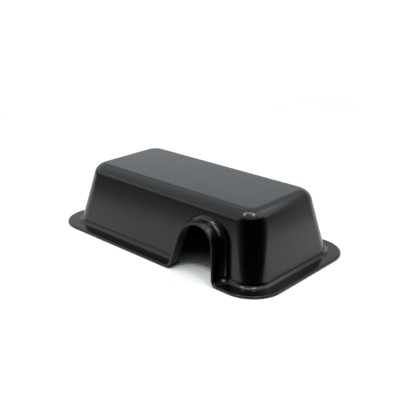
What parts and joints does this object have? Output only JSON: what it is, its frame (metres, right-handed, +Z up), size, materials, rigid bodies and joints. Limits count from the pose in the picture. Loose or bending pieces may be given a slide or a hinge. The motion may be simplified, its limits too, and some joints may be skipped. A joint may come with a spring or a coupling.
{
  "type": "bait station",
  "caption": "Black vacuum-formed box cover with a flange and an arched side entrance, over a loose bait tray with sliding rods that carry bait blocks.",
  "frame": {"origin": "On the floor, at the centre of the cover's flange.", "axes": "+X along the cover towards the end with the entrance, -Y out of the entrance, +Z up."},
  "size_m": [0.28, 0.155, 0.067],
  "materials": {
    "formed_sheet": "semi-gloss black, as drawn over the mould",
    "tray_plastic": "black, fine moulded grain",
    "rod_steel": "zinc plated wire",
    "wax_bait": "waxy, with grain in it"
  },
  "bodies": {
    "tray": {"bait_tray": "tray_plastic", "front_bait_block_1": "wax_bait", "front_bait_block_2": "wax_bait", "front_bait_block_3": "wax_bait", "back_bait_block_1": "wax_bait", "back_bait_block_2": "wax_bait", "back_bait_block_3": "wax_bait"},
    "cover": {"cover": "formed_sheet"},
    "front_rod": {"front_bait_rod": "rod_steel"},
    "back_rod": {"back_bait_rod": "rod_steel"}
  },
  "joints": [
    {"name": "cover_lift", "type": "slide", "parent": "tray", "child": "cover", "axis": [0, 0, 1], "range_m": [0, 0.08]},
    {"name": "front_rod_slide", "type": "slide", "parent": "tray", "child": "front_rod", "axis": [1, 0, 0], "range_m": [0, 0.1]},
    {"name": "back_rod_slide", "type": "slide", "parent": "tray", "child": "back_rod", "axis": [1, 0, 0], "range_m": [0, 0.1]}
  ]
}
